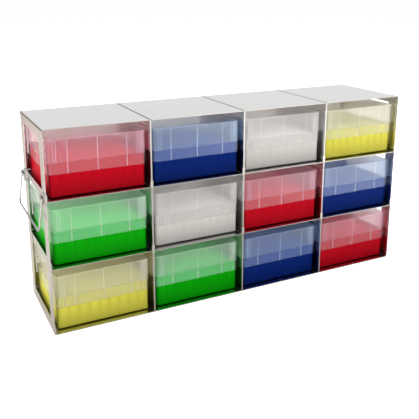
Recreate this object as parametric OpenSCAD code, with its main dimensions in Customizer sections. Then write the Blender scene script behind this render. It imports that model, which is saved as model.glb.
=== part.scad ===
// Side-access freezer rack filled with lidded cryogenic storage boxes.
// Millimetres. X runs along the rack, Y from its open front (-Y) to its back, Z up.
// The origin is the centre of the rack's underside.
// Columns are counted from the left, rows from the top.

/* [Layout] */
// Columns of boxes along the rack
column_count = 4; // [2:1:4]
// Rows of boxes, one above the other
row_count = 3; // [2:1:3]

/* [Box base] */
// Outer width of the square base
base_w = 128.4; // [110:0.2:150]
// Height of the base, from its feet to its rim
base_h = 46.5; // [40:0.5:60]
// Thickness of the base's side walls
base_wall = 1.6; // [1.2:0.1:2.4]
// Thickness of the base's floor
base_floor = 1.8; // [1.2:0.1:3]
// Diameter of the four round feet
foot_d = 10; // [6:0.5:16]
// Distance from the base's side to the centre of a foot
foot_inset = 9; // [8:0.5:20]

/* [Box lid] */
// Height of the lid, from its rim to its top
lid_h = 46.5; // [36:0.5:60]
// Thickness of the lid's side walls
lid_wall = 1.3; // [1:0.1:2]
// Thickness of the lid's top
lid_top_t = 1.6; // [1:0.1:3]
// Length over which the lid's skirt covers the base
lid_overlap = 15; // [8:0.5:24]
// Free space between the base's side and the lid's skirt
lid_gap = 0.5; // [0.4:0.05:1]
// Outer radius of the lid's upright corners
corner_r = 5; // [4:0.5:10]
// Width of each rib inside the skirt
rib_w = 2.4; // [1:0.1:4]
// Distance between neighbouring long ribs
rib_pitch = 39.5; // [20:0.5:44]
// Free space between a long rib and the base
rib_clearance = 0.15; // [0.1:0.05:0.3]
// Distance from the lid's rim to the lower end of a long rib
rib_end = 2; // [1:0.5:6]
// Distance from the lid's side to the outer stop rib beside a corner
stop_inset = 8; // [6:0.5:14]
// Distance between the two stop ribs of a pair
stop_pitch = 4; // [3:0.5:6]

/* [Cell dividers] */
// Cells along each side of a box
cell_count = 9; // [5:1:10]
// Thickness of a divider strip
strip_t = 0.9; // [0.6:0.1:1.4]
// Height of a divider strip
strip_h = 40; // [24:0.5:42]
// Free space at each end of a strip
strip_end_gap = 0.15; // [0.1:0.05:0.5]
// Free space at each side of a strip in its slot
slot_fit = 0.1; // [0.05:0.05:0.3]

/* [Rack] */
// Thickness of the steel sheet
sheet = 1; // [0.8:0.1:1.5]
// Inside radius of every sheet bend
bend_in = 0.6; // [0.4:0.1:1.5]
// Free space at each side of a box, between its lid and the column's wall
side_room = 3.9; // [2:0.1:8]
// Free space above a lid
head_room = 13.2; // [13:0.1:30]
// Distance from the rack's front to the lids
front_recess = 8; // [7:0.5:15]
// Free space between a base and the lip behind it
lip_gap = 0.8; // [0.3:0.1:3]
// Distance that the boxes stand right of their bays' centres
box_shift = 0.8; // [0:0.1:1.5]

/* [Shelves] */
// Height of the flanges turned up along the sides of every shelf
flange_h = 9; // [6:0.5:14]
// Height of the lip turned up along the back of every shelf
lip_h = 6; // [4:0.5:10]
// Free space between an end of a lip and the flange beside it
lip_relief = 1; // [0.5:0.1:3]
// Diameter of the bump pressed into a shelf's front
bump_d = 6; // [3:0.5:6]
// Diameter of the flat on the bump's top
bump_flat = 2.6; // [2:0.1:2.8]
// Height of the bump
bump_h = 0.8; // [0.4:0.1:1.2]
// Free space between the bump and the floor of a box that slides over it
bump_clearance = 0.4; // [0.2:0.1:1]
// Distance from the shelf's front edge to the bump's centre
bump_inset = 4; // [3.5:0.1:4.5]

/* [End windows] */
// Width of the uprights left beside an end window
post_w = 20; // [18:0.5:30]
// Height of the rail left above an end window
top_rail_h = 13; // [8:0.5:20]
// Height of the rail left below an end window
bottom_rail_h = 14; // [8:0.5:20]
// Radius of a window's corners
window_r = 4; // [1:0.5:8]

/* [Handle] */
// Diameter of the bail's wire
wire_d = 2.5; // [2:0.1:3.5]
// Distance from the rack's front and back to the middle of the bail's legs
bail_inset = 4.5; // [3:0.5:7]
// Distance from the pivots to the middle of the bar
bail_drop = 46; // [35:0.5:60]
// Radius of the bends between the legs and the bar, at the wire's middle
bail_bend = 6; // [4:0.5:12]
// Radius of the bends beside the pivots, at the wire's middle
pin_bend = 3; // [2.6:0.1:4]
// Length of the tails that rest on the ears
tail_l = 12; // [9:0.5:16]
// Free space between a resting tail and its ear
tail_gap = 0.1; // [0.05:0.05:0.3]
// Angle at which the bail's legs stand off the rack's end
hang_angle = 8.5; // [4:0.5:15]

/* [Handle ears] */
// Thickness of the ears' sheet
ear_t = 1; // [0.8:0.1:1.5]
// Distance from the rack's end to the pivots' axis
pivot_out = 3.4; // [3.3:0.1:5]
// Height of the pivots above the top row's shelf
pivot_rise = 6.2; // [2:0.1:12]
// Radial clearance of a pivot in its ear
pin_fit = 0.08; // [0.05:0.01:0.1]
// Free space beside an ear on the bail's pivot
ear_gap = 0.3; // [0.2:0.1:0.6]
// Width of metal around a pivot's hole
ear_rim = 2.2; // [1.5:0.1:3]
// Width of an ear's pad
pad_w = 12; // [10:0.5:14]

/* [Hidden] */
$fn = 64;
cut = 1; // how far a cutter runs past what it cuts
top_row = 1; // rows are counted down from it

// Box
foot_h = bump_h + bump_clearance;
lid_w = base_w + 2*(lid_gap + lid_wall);
lid_rim_z = base_h - lid_overlap;
box_h = lid_rim_z + lid_h;
base_r = corner_r - lid_wall - lid_gap;
cavity_w = base_w - 2*base_wall;
cell_pitch = cavity_w/cell_count;
cell_floor_z = foot_h + base_floor;

// Rack
bend_out = bend_in + sheet;
bay_w = lid_w + 2*side_room;
bay_h = box_h + head_room;
column_w = bay_w + 2*sheet;
rack_l = column_count*column_w;
rack_h = row_count*bay_h + (row_count + 1)*sheet;
rack_d = front_recess + (lid_w + base_w)/2 + lip_gap + sheet;
front_y = -rack_d/2;
box_y = front_y + front_recess + lid_w/2;
lip_w = bay_w - 2*(sheet + lip_relief);

// Handle
wire_r = wire_d/2;
leg_y = rack_d/2 - bail_inset;
ear_y = leg_y - pin_bend - ear_gap - ear_t;
tail_y = ear_y - ear_gap - pin_bend;
pivot_x = -rack_l/2 - pivot_out;
pivot_z = floor_z(top_row) + pivot_rise;
tail_angle = asin((pivot_out - ear_t - tail_gap)/norm([tail_l, wire_r])) - atan(wire_r/tail_l);
ear_r = wire_r + pin_fit + ear_rim;
pad_top = pivot_z + ear_r;
pad_h = ear_r + tail_l + wire_r;
knuckle_swell = 0.02; // how far the bend between a pin and its tail bulges

RED = [0.75, 0.02, 0.07];
BLUE = [0.05, 0.14, 0.46];
GREEN = [0.02, 0.58, 0.08];
YELLOW = [0.80, 0.78, 0.16];
NATURAL = [0.88, 0.88, 0.84];
BOX_COLORS = [
    [RED, BLUE, NATURAL, YELLOW],
    [GREEN, NATURAL, RED, BLUE],
    [YELLOW, GREEN, BLUE, RED],
];
STEEL = [0.78, 0.79, 0.80];
CLEAR = [0.93, 0.95, 0.95, 0.45];

function bay_x(column) = (column - (column_count + 1)/2)*column_w;
function floor_z(row) = sheet + (row_count - row)*(bay_h + sheet);
function at(name, column, row) = str(name, "_c", column, "r", row);

// ---- Shapes that several pieces share ----

// A square with rounded corners, centred on the origin.
module rounded_square(w, r) {
    square([w - 2*r, w], center = true);
    square([w, w - 2*r], center = true);
    for (x = [-1, 1], y = [-1, 1])
        translate([x*(w/2 - r), y*(w/2 - r)])
            circle(r);
}

// A rectangle that stands on the X axis, with only its top corners rounded.
module arch(w, h, r) {
    translate([-w/2, 0])
        square([w, h - r]);
    translate([-w/2 + r, 0])
        square([w - 2*r, h]);
    for (x = [-1, 1])
        translate([x*(w/2 - r), h - r])
            circle(r);
}

// The section of a sheet folded into a channel that is open below, standing on the X axis.
module channel_section(w, h) {
    difference() {
        arch(w, h, bend_out);
        translate([0, -cut])
            arch(w - 2*sheet, h - sheet + cut, bend_in);
    }
}

// The section of a sheet on the X axis with a flange turned up at each side.
module tray_section(w, flange) {
    translate([0, sheet + flange])
        mirror([0, 1])
            channel_section(w, sheet + flange);
}

// Puts a section drawn in X and Y upright, and runs it along the rack's depth.
module along_depth(length) {
    rotate([90, 0, 0])
        linear_extrude(length, center = true)
            children();
}

// ---- Rack ----

// A shelf sheet with its underside on Z = 0, side flanges, and a lip behind each bay.
module shelf_sheet(w, bay_centres) {
    translate([0, -bend_out/2, 0])
        along_depth(rack_d - bend_out)
            tray_section(w, flange_h);
    for (x = bay_centres)
        translate([x, 0, 0])
            back_lip();
}

// The lip along the back of one bay, with the bend below it and a root inside the shelf.
module back_lip() {
    root = bend_out + sheet;
    translate([-lip_w/2, rack_d/2 - root, 0])
        rotate([90, 0, 90])
            linear_extrude(lip_w)
                intersection() {
                    tray_section(2*root, lip_h);
                    square([root, sheet + lip_h]);
                }
}

// The round bump that a box is eased over. It stands on a sheet's top, and its root may
// reach down into the sheet.
module front_bump(root = 0) {
    translate([0, front_y + bump_inset, 0]) {
        cylinder(h = bump_h, d1 = bump_d, d2 = bump_flat);
        if (root > 0)
            translate([0, 0, -root])
                cylinder(h = root, d = bump_d);
    }
}

module base_tray() {
    color(STEEL)
        shelf_sheet(rack_l - 2*sheet, [for (column = [1:column_count]) bay_x(column)]);
}

// The bottom row's bumps, which are welded to the tray.
module tray_bumps() {
    color(STEEL)
        for (column = [1:column_count])
            translate([bay_x(column), 0, sheet])
                front_bump();
}

module shelf(column, row) {
    color(STEEL)
        translate([bay_x(column), 0, floor_z(row) - sheet]) {
            shelf_sheet(bay_w, [0]);
            translate([0, 0, sheet])
                front_bump(sheet/2);
        }
}

// A folded channel, open below. Walls between two columns stand on the tray, and end walls
// reach down beside it and have a window.
module column_shell(column) {
    is_end = [column == 1, column == column_count];
    color(STEEL)
        translate([bay_x(column), 0, 0])
            difference() {
                along_depth(rack_d)
                    channel_section(column_w, rack_h);
                for (side = [0, 1])
                    mirror([1 - side, 0, 0])
                        if (is_end[side])
                            end_window();
                        else
                            wall_foot_cut();
            }
}

module end_window() {
    window_d = rack_d - 2*post_w;
    window_h = rack_h - top_rail_h - bottom_rail_h;
    translate([bay_w/2 - cut, 0, bottom_rail_h + window_h/2])
        rotate([90, 0, 90])
            linear_extrude(sheet + 2*cut) {
                square([window_d - 2*window_r, window_h], center = true);
                square([window_d, window_h - 2*window_r], center = true);
                for (y = [-1, 1], z = [-1, 1])
                    translate([y*(window_d/2 - window_r), z*(window_h/2 - window_r)])
                        circle(window_r);
            }
}

module wall_foot_cut() {
    translate([bay_w/2 - cut, -rack_d/2 - cut, -cut])
        cube([sheet + 2*cut, rack_d + 2*cut, sheet + cut]);
}

// ---- Handle ----

// A straight length of wire along +Z.
module wire(length) {
    cylinder(h = length, r = wire_r);
}

// A quarter bend of wire in the YZ plane. It starts upwards at the origin and ends towards +Y.
module wire_bend(radius) {
    translate([0, radius, 0])
        rotate([90, 0, -90])
            rotate_extrude(angle = 90)
                translate([radius, 0])
                    circle(wire_r);
}

// The back half of the bail, with its pivot on the Y axis and its leg along -Z.
module bail_half() {
    leg_l = bail_drop - bail_bend - pin_bend;
    translate([0, leg_y, -bail_drop + bail_bend]) {
        wire(leg_l);
        mirror([0, 0, 1])
            mirror([0, 1, 0])
                wire_bend(bail_bend);
        translate([0, 0, leg_l])
            mirror([0, 1, 0])
                wire_bend(pin_bend);
    }
    translate([0, 0, -bail_drop])
        rotate([-90, 0, 0])
            wire(leg_y - bail_bend);
    translate([0, ear_y - ear_gap, 0])
        rotate([-90, 0, 0])
            wire(ear_t + 2*ear_gap);
    rotate([0, -hang_angle - tail_angle, 0])
        translate([0, tail_y, -tail_l]) {
            wire(tail_l - pin_bend);
            translate([0, 0, tail_l - pin_bend])
                wire_bend(pin_bend);
            translate([0, pin_bend, tail_l])
                sphere(wire_r + knuckle_swell);
        }
}

module handle() {
    color(STEEL)
        translate([pivot_x, 0, pivot_z])
            rotate([0, hang_angle, 0])
                for (side = [0, 1])
                    mirror([0, side, 0])
                        bail_half();
}

// The back ear: a pad flat on the rack's end, and a drilled tab that stands out of it.
module ear() {
    tab_in = -rack_l/2 - pivot_x;
    pad_y = (leg_y + tail_y)/2;
    translate([-rack_l/2 - ear_t, pad_y - pad_w/2, pad_top - pad_h])
        cube([ear_t, pad_w, pad_h]);
    translate([pivot_x, ear_y + ear_t, pivot_z])
        rotate([90, 0, 0])
            linear_extrude(ear_t)
                difference() {
                    union() {
                        circle(ear_r);
                        translate([0, -ear_r])
                            square([tab_in - ear_t/2, 2*ear_r]);
                    }
                    circle(wire_r + pin_fit);
                }
}

module handle_ear_back() {
    color(STEEL)
        ear();
}

module handle_ear_front() {
    color(STEEL)
        mirror([0, 1, 0])
            ear();
}

// ---- Boxes ----

// Moves a box piece from the middle of a box's foot to its bay.
module in_bay(column, row) {
    translate([bay_x(column) + box_shift, box_y, floor_z(row)])
        children();
}

module box_base(column, row) {
    color(BOX_COLORS[row - 1][column - 1])
        in_bay(column, row) {
            difference() {
                translate([0, 0, foot_h])
                    linear_extrude(base_h - foot_h)
                        rounded_square(base_w, base_r);
                translate([0, 0, cell_floor_z])
                    linear_extrude(base_h)
                        rounded_square(cavity_w, base_r - base_wall);
            }
            for (x = [-1, 1], y = [-1, 1])
                translate([x*(base_w/2 - foot_inset), y*(base_w/2 - foot_inset), 0])
                    cylinder(h = foot_h + base_floor/2, d = foot_d);
        }
}

// Strips that cross at half height and divide the base into cells.
module box_cells(column, row) {
    color(BOX_COLORS[row - 1][column - 1])
        in_bay(column, row)
            translate([0, 0, cell_floor_z])
                for (turn = [0, 1], i = [1:cell_count - 1])
                    rotate([0, 0, turn*90])
                        translate([0, i*cell_pitch - cavity_w/2, 0])
                            divider_strip(turn == 0);
}

module divider_strip(slots_up) {
    length = cavity_w - 2*strip_end_gap;
    slot_w = strip_t + 2*slot_fit;
    slot_h = strip_h/2 + slot_fit;
    slot_z = slots_up ? strip_h - slot_h : -cut;
    difference() {
        translate([-length/2, -strip_t/2, 0])
            cube([length, strip_t, strip_h]);
        for (i = [1:cell_count - 1])
            translate([i*cell_pitch - cavity_w/2 - slot_w/2, -strip_t/2 - cut, slot_z])
                cube([slot_w, strip_t + 2*cut, slot_h + cut]);
    }
}

// A clear cover with ribs inside its skirt. Short stop ribs by the corners sit on the base's rim.
module box_lid(column, row) {
    color(CLEAR)
        in_bay(column, row)
            translate([0, 0, lid_rim_z]) {
                difference() {
                    linear_extrude(lid_h)
                        rounded_square(lid_w, corner_r);
                    translate([0, 0, -cut])
                        linear_extrude(lid_h - lid_top_t + cut)
                            rounded_square(lid_w - 2*lid_wall, corner_r - lid_wall);
                }
                for (turn = [0:3])
                    rotate([0, 0, turn*90])
                        skirt_ribs();
            }
}

// The ribs of one side of the skirt, the front one.
module skirt_ribs() {
    for (i = [-1:1])
        lid_rib(i*rib_pitch, lid_gap - rib_clearance, rib_end);
    for (side = [-1, 1], i = [0, 1])
        lid_rib(side*(lid_w/2 - stop_inset - i*stop_pitch), lid_gap + base_wall, lid_overlap);
}

module lid_rib(x, depth, z) {
    translate([x - rib_w/2, -lid_w/2 + lid_wall/2, z])
        cube([rib_w, lid_wall/2 + depth, lid_h - lid_top_t/2 - z]);
}

// ---- Pieces ----

base_tray();
tray_bumps();
handle();
handle_ear_front();
handle_ear_back();
for (column = [1:column_count]) {
    column_shell(column);
    for (row = [1:row_count - 1])
        shelf(column, row);
    for (row = [1:row_count]) {
        box_base(column, row);
        box_cells(column, row);
        box_lid(column, row);
    }
}
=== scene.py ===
"""Dresses a side-access freezer rack and its lidded tube boxes, then lights and frames it.

Everything is in metres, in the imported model's own frame: X runs along the rack, Y from its
open front to its back, Z up. Columns are counted from the left and rows from the top.
"""
import logging
import math
from dataclasses import dataclass
from enum import Enum
from typing import Sequence

import bmesh
import bpy
from mathutils import Euler, Matrix, Vector


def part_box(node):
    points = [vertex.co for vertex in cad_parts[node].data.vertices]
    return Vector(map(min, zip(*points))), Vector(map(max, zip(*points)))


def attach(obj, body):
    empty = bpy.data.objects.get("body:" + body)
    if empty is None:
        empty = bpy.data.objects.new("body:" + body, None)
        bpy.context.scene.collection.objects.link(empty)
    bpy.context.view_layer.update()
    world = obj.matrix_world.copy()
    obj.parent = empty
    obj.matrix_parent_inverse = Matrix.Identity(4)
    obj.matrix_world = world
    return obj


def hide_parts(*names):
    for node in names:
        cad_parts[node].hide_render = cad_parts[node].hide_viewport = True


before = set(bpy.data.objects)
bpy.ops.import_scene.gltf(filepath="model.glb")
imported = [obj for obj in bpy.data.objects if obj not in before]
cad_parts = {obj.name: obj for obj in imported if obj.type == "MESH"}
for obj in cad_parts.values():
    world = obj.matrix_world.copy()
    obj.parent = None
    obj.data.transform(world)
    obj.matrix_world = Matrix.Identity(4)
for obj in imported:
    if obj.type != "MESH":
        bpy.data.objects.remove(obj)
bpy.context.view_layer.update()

MM = 0.001
Colour = tuple[float, float, float]
Outline = list[Vector]
log = logging.getLogger("freezer_rack")


# ---- Nodes ----


class Wire:
    """A node's output. A sign between it and a number or another wire adds a Math node.

    Args:
        draw: The sketch that the node is in.
        socket: The output.
    """

    def __init__(self, draw: "NodeSketch", socket: bpy.types.NodeSocket) -> None:
        """Keeps the sketch and the socket."""
        self.draw, self.socket = draw, socket

    def __add__(self, other: object) -> "Wire":
        """Adds."""
        return self.draw.math("ADD", self, other)

    def __sub__(self, other: object) -> "Wire":
        """Takes away."""
        return self.draw.math("SUBTRACT", self, other)

    def __rsub__(self, other: float) -> "Wire":
        """Is taken away from a number."""
        return self.draw.math("SUBTRACT", other, self)

    def __mul__(self, other: object) -> "Wire":
        """Multiplies."""
        return self.draw.math("MULTIPLY", self, other)

    def __truediv__(self, other: object) -> "Wire":
        """Divides."""
        return self.draw.math("DIVIDE", self, other)

    def __floordiv__(self, other: float) -> "Wire":
        """Divides and rounds down."""
        return self.draw.math("FLOOR", self / other)

    def __abs__(self) -> "Wire":
        """Drops the minus sign."""
        return self.draw.math("ABSOLUTE", self)

    def odd(self) -> "Wire":
        """Returns 1 where a whole number is odd, and 0 where it is even."""
        return self - (self + 0.5) // 2.0 * 2.0

    def equals(self, other: object) -> "Wire":
        """Returns 1 where two whole numbers are the same, and 0 elsewhere."""
        return self.draw.math("COMPARE", self, other, 0.1)


class NodeSketch:
    """Adds and links nodes in one node tree.

    Args:
        tree: The tree to draw in.
    """

    def __init__(self, tree: bpy.types.NodeTree) -> None:
        """Keeps the tree."""
        self.tree = tree

    def add(self, kind: str, **given: object) -> dict[str, Wire]:
        """Adds a node, and gives it its properties and then its inputs.

        Args:
            kind: The node's type name.
            given: Values by name. Names in small letters are properties. Names with a capital
                are inputs, with _ for a space.

        Returns:
            The node's outputs by name.
        """
        node = self.tree.nodes.new(kind)
        inputs = {name: value for name, value in given.items() if name[0].isupper()}
        for name, value in given.items():
            if name not in inputs:
                setattr(node, name, value)
        self.feed(node, **inputs)
        return {socket.name: Wire(self, socket) for socket in reversed(list(node.outputs))}

    def feed(self, node: bpy.types.Node, **sources: object) -> None:
        """Gives a node some of its inputs.

        Args:
            node: The node.
            sources: What each input gets, by its name with _ for a space.
        """
        for name, source in sources.items():
            self.put(node.inputs[name.replace("_", " ")], source)

    def put(self, socket: bpy.types.NodeSocket, source: object) -> None:
        """Gives one input what it gets.

        Args:
            socket: The input.
            source: A wire, a list of wires, or a plain value.
        """
        if isinstance(source, (Wire, list)):
            for wire in source if isinstance(source, list) else [source]:
                self.tree.links.new(wire.socket, socket)
        else:
            socket.default_value = (*source, 1.0) if socket.type == "RGBA" else source

    def numbered(self, kind: str, sources: dict[int, object], result: int = 0,
                 **settings: object) -> Wire:
        """Adds a node whose inputs share names, and goes by their numbers.

        Args:
            kind: The node's type name.
            sources: What each input gets, by its number.
            result: The output's number.
            settings: The node's properties.

        Returns:
            The output.
        """
        node = self.tree.nodes.new(kind)
        for name, value in settings.items():
            setattr(node, name, value)
        for number, source in sources.items():
            self.put(node.inputs[number], source)
        return Wire(self, node.outputs[result])

    def math(self, operation: str, *values: object) -> Wire:
        """Returns the result of a Math node."""
        return self.numbered("ShaderNodeMath", dict(enumerate(values)), operation=operation)

    def stretched(self, place: Wire, factors: object) -> Wire:
        """Returns a place with each of its parts multiplied by its own factor."""
        return self.numbered("ShaderNodeVectorMath", {0: place, 1: factors},
                             operation="MULTIPLY")

    def blend(self, factor: object, first: object, second: object) -> Wire:
        """Returns a mix of two colours."""
        return self.numbered("ShaderNodeMix", {0: factor, 6: first, 7: second}, 2,
                             data_type="RGBA")

    def rise(self, value: Wire, start: object, end: object) -> Wire:
        """Returns a smooth rise of a value from 0 at the start to 1 at the end."""
        return self.add("ShaderNodeMapRange", interpolation_type="SMOOTHSTEP", Value=value,
                        From_Min=start, From_Max=end)["Result"]

    def bump(self, strength: float, depth: float, height: Wire) -> Wire:
        """Returns the normal of a surface with a fine relief."""
        return self.add("ShaderNodeBump", Strength=strength, Distance=depth,
                        Height=height)["Normal"]

    def point(self, **parts: object) -> Wire:
        """Returns a point from some of its X, Y and Z."""
        return self.add("ShaderNodeCombineXYZ", **parts)["Vector"]


SHAPE = "NodeSocketGeometry"
STUFF = "NodeSocketMaterial"
SOCKETS = {float: "NodeSocketFloat", int: "NodeSocketInt", tuple: "NodeSocketVector"}


def new_group(name: str, kind: str, inputs: dict[str, object], outputs: Sequence[str],
              ) -> tuple[NodeSketch, dict[str, Wire], bpy.types.Node]:
    """Makes an empty node group with its sockets.

    Args:
        name: The group's name.
        kind: The tree's type. A shader tree puts out numbers, and a geometry tree meshes.
        inputs: Each input's name with its default, or with SHAPE or STUFF.
        outputs: The outputs' names.

    Returns:
        A sketch of the group, its inputs by name and its output node.
    """
    tree = bpy.data.node_groups.new(name, kind)
    for label, value in inputs.items():
        bare = isinstance(value, str)
        made = tree.interface.new_socket(name=label, in_out="INPUT",
                                         socket_type=value if bare else SOCKETS[type(value)])
        if not bare:
            made.default_value = value
    out = SHAPE if kind == "GeometryNodeTree" else SOCKETS[float]
    for label in outputs:
        tree.interface.new_socket(name=label, in_out="OUTPUT", socket_type=out)
    draw = NodeSketch(tree)
    return draw, draw.add("NodeGroupInput"), tree.nodes.new("NodeGroupOutput")


class SurfaceEffects:
    """The shader node groups that several finishes share."""

    def __init__(self) -> None:
        """Builds each group once."""
        self.grain = self._grain()
        self.marks = self._marks()
        self.skin = self._skin()
        self.wall_light = self._wall_light()

    @staticmethod
    def _grain() -> bpy.types.NodeTree:
        """Makes fine lines along one direction, as a belt leaves them on sheet steel.

        Returns:
            A group with a tone from 0 to 1 and a height from 0 to 1.
        """
        draw, given, made = new_group(
            "brushed_grain", "ShaderNodeTree",
            {"Lines per metre": (30.0, 900.0, 900.0), "Softness": 0.5}, ("Tone", "Height"))
        spread = draw.stretched(draw.add("ShaderNodeTexCoord")["Object"],
                                given["Lines per metre"])
        coarse, fine = (
            draw.add("ShaderNodeTexNoise", Vector=spread, Scale=scale, Detail=detail,
                     Roughness=given["Softness"])["Fac"]
            for scale, detail in ((0.35, 2.0), (1.6, 1.0)))
        coarse_share = 0.6
        draw.feed(made, Tone=coarse * coarse_share + fine * (1.0 - coarse_share), Height=fine)
        return draw.tree

    @staticmethod
    def _marks() -> bpy.types.NodeTree:
        """Makes broad, faint patches, as hands and wiping leave them.

        Returns:
            A group with a mask from 0 to 1.
        """
        draw, given, made = new_group(
            "handling_marks", "ShaderNodeTree",
            {"Patches per metre": 18.0, "Clean below": 0.50, "Marked above": 0.72}, ("Mask",))
        cloud = draw.add("ShaderNodeTexNoise", Vector=draw.add("ShaderNodeTexCoord")["Object"],
                         Scale=given["Patches per metre"], Detail=4.0, Distortion=0.6)["Fac"]
        draw.feed(made, Mask=draw.rise(cloud, given["Clean below"], given["Marked above"]))
        return draw.tree

    @staticmethod
    def _skin() -> bpy.types.NodeTree:
        """Makes the skin of a moulding: flow streaks, a fine peel and worn, lighter edges.

        Returns:
            A group with a tone, a height and an edge mask, each from 0 to 1.
        """
        draw, given, made = new_group(
            "moulded_skin", "ShaderNodeTree",
            {"Streaks per metre": (60.0, 60.0, 9.0), "Peel per metre": 900.0,
             "Blunt edge": 0.58, "Sharp edge": 0.74}, ("Tone", "Height", "Edges"))
        place = draw.add("ShaderNodeTexCoord")["Object"]
        flow = draw.add("ShaderNodeTexNoise", Scale=1.0, Detail=2.0,
                        Vector=draw.stretched(place, given["Streaks per metre"]))
        peel = draw.add("ShaderNodeTexNoise", Scale=given["Peel per metre"], Detail=1.0,
                        Vector=place)
        edges = draw.rise(draw.add("ShaderNodeNewGeometry")["Pointiness"],
                          given["Blunt edge"], given["Sharp edge"])
        draw.feed(made, Tone=flow["Fac"], Height=peel["Fac"], Edges=edges)
        return draw.tree

    @staticmethod
    def _wall_light() -> bpy.types.NodeTree:
        """Marks places on a box's walls: where the lid lets more or less light through, and where
        light and shade are painted.

        The mesh carries each point's height and its place along its side as attributes.

        Returns:
            A group with four masks from 0 to 1: above the rim, towards the foot, where strips
            or long ribs stand behind the wall, and where the pairs of stop ribs do.
        """
        draw, given, made = new_group(
            "wall_light", "ShaderNodeTree",
            {"Rim": 0.0315, "Floor": 0.003, "Pitch": 0.0139, "Shift": 0.0, "Core": 0.04,
             "Edge": 0.30, "Stop middle": 0.056, "Stop pitch": 0.004, "Stop edge": 0.0006,
             "Stop core": 0.0002}, ("Rim", "Foot", "Strips", "Stops"))
        up, along = (draw.add("ShaderNodeAttribute", attribute_name=name)["Fac"]
                     for name in ("height", "across"))
        part = draw.math("FRACT", along / given["Pitch"] + given["Shift"])
        pair = abs(abs(along) - given["Stop middle"])
        stop = abs(pair - given["Stop pitch"] * 0.5)
        below, above = -0.6 * MM, 1.2 * MM
        draw.feed(made, Rim=draw.rise(up - given["Rim"], below, above),
                  Foot=draw.rise(up, given["Rim"], given["Floor"]),
                  Strips=draw.rise(abs(part - 0.5), given["Edge"], given["Core"]),
                  Stops=draw.rise(stop, given["Stop edge"], given["Stop core"]))
        return draw.tree


def new_material(name: str) -> tuple[bpy.types.Material, NodeSketch, bpy.types.Node]:
    """Makes a material with a lone Principled shader.

    Args:
        name: The material's name.

    Returns:
        The material, a sketch of its tree and the shader node.
    """
    material = bpy.data.materials.new(name)
    material.use_nodes = True
    tree = material.node_tree
    return material, NodeSketch(tree), tree.nodes["Principled BSDF"]


def shade(colour: Colour, factor: float) -> Colour:
    """Returns a colour made darker or lighter by a factor, up to white."""
    return tuple(min(1.0, part * factor) for part in colour)


class BrushDirection(Enum):
    """The way that the grain of a sheet runs, as lines for each metre along X, Y and Z."""

    ALONG = (25.0, 800.0, 800.0)
    DEEP = (800.0, 25.0, 800.0)
    UPRIGHT = (800.0, 800.0, 25.0)


@dataclass(frozen=True)
class SteelFinish:
    """Satin stainless steel with a brushed grain and faint marks."""

    name: str
    colour: Colour
    roughness: float
    brush: BrushDirection
    grain: float = 0.04
    grain_depth: float = 0.02 * MM
    darkest: float = 0.94
    lightest: float = 1.04
    rough_spread: float = 0.08
    smear: float = 0.05

    def material(self, effects: SurfaceEffects) -> bpy.types.Material:
        """Builds the material.

        Args:
            effects: The shared node groups.

        Returns:
            The material.
        """
        material, draw, steel = new_material(self.name)
        grain = draw.add("ShaderNodeGroup", node_tree=effects.grain,
                         Lines_per_metre=self.brush.value)
        marks = draw.add("ShaderNodeGroup", node_tree=effects.marks)
        tone = draw.blend(grain["Tone"], shade(self.colour, self.darkest),
                          shade(self.colour, self.lightest))
        rough = grain["Tone"] * self.rough_spread + (self.roughness - self.rough_spread / 2)
        draw.feed(steel, Base_Color=tone, Metallic=1.0,
                  Roughness=marks["Mask"] * self.smear + rough,
                  Normal=draw.bump(self.grain, self.grain_depth, grain["Height"]))
        return material


@dataclass(frozen=True)
class Plastic:
    """Moulded plastic with flow streaks, a fine peel and faint marks."""

    name: str
    colour: Colour
    clear: float
    roughness: float = 0.32
    darkest: float = 0.90
    lightest: float = 1.08
    smear: float = 0.08
    patches: float = 18.0
    peel: float = 0.08
    peel_depth: float = 0.05 * MM

    def surface(self, draw: NodeSketch, effects: SurfaceEffects) -> tuple[Wire, ...]:
        """Sketches the look that every moulding has.

        Args:
            draw: The material's sketch.
            effects: The shared node groups.

        Returns:
            The streaked colour, the roughness, the normal and a mask of the worn edges.
        """
        skin = draw.add("ShaderNodeGroup", node_tree=effects.skin)
        marks = draw.add("ShaderNodeGroup", node_tree=effects.marks,
                         Patches_per_metre=self.patches)
        tone = draw.blend(skin["Tone"], shade(self.colour, self.darkest),
                          shade(self.colour, self.lightest))
        return (tone, marks["Mask"] * self.smear + self.roughness,
                draw.bump(self.peel, self.peel_depth, skin["Height"]), skin["Edges"])


@dataclass(frozen=True)
class MouldedPlastic(Plastic):
    """Coloured polypropylene that lets a little light through, with painted light and shade on
    its walls.
    """

    gloss: float = 0.02
    worn: Colour = (0.9, 0.9, 0.88)
    wear: float = 0.04
    # Painted light on the rim, painted shade towards the foot and behind the divider strips.
    rim: Colour | None = None
    foot: float = 0.72
    strips: float = 0.10
    painted_strip_shade_share: float = 0.5

    def material(self, effects: SurfaceEffects) -> bpy.types.Material:
        """Builds the material.

        Args:
            effects: The shared node groups.

        Returns:
            The material.
        """
        material, draw, plastic = new_material(self.name)
        tone, rough, normal, edges = self.surface(draw, effects)
        if self.rim:
            tone = self._paint_wall_light_and_shade(draw, effects, tone)
        draw.feed(plastic, Base_Color=draw.blend(edges * self.wear, tone, self.worn),
                  Roughness=rough, IOR=1.49, Transmission_Weight=self.clear,
                  Specular_IOR_Level=self.gloss, Normal=normal)
        return material

    def _paint_wall_light_and_shade(self, draw: NodeSketch, effects: SurfaceEffects, tone: Wire) -> Wire:
        """Paints light on the rim, and paints shade towards the foot and where the strips stand
        behind the wall.

        Args:
            draw: The material's sketch.
            effects: The shared node groups.
            tone: The wall's own colour.

        Returns:
            The colour with the painted light and shade.
        """
        light = draw.add("ShaderNodeGroup", node_tree=effects.wall_light)
        # Painted shade behind the strips and towards the foot, then painted light on the rim.
        for amount, second in (
                (light["Strips"] * self.painted_strip_shade_share, shade(self.colour, 1.0 - self.strips)),
                (light["Foot"], shade(self.colour, self.foot)), (light["Rim"], self.rim)):
            tone = draw.blend(amount, tone, second)
        return tone


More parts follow.
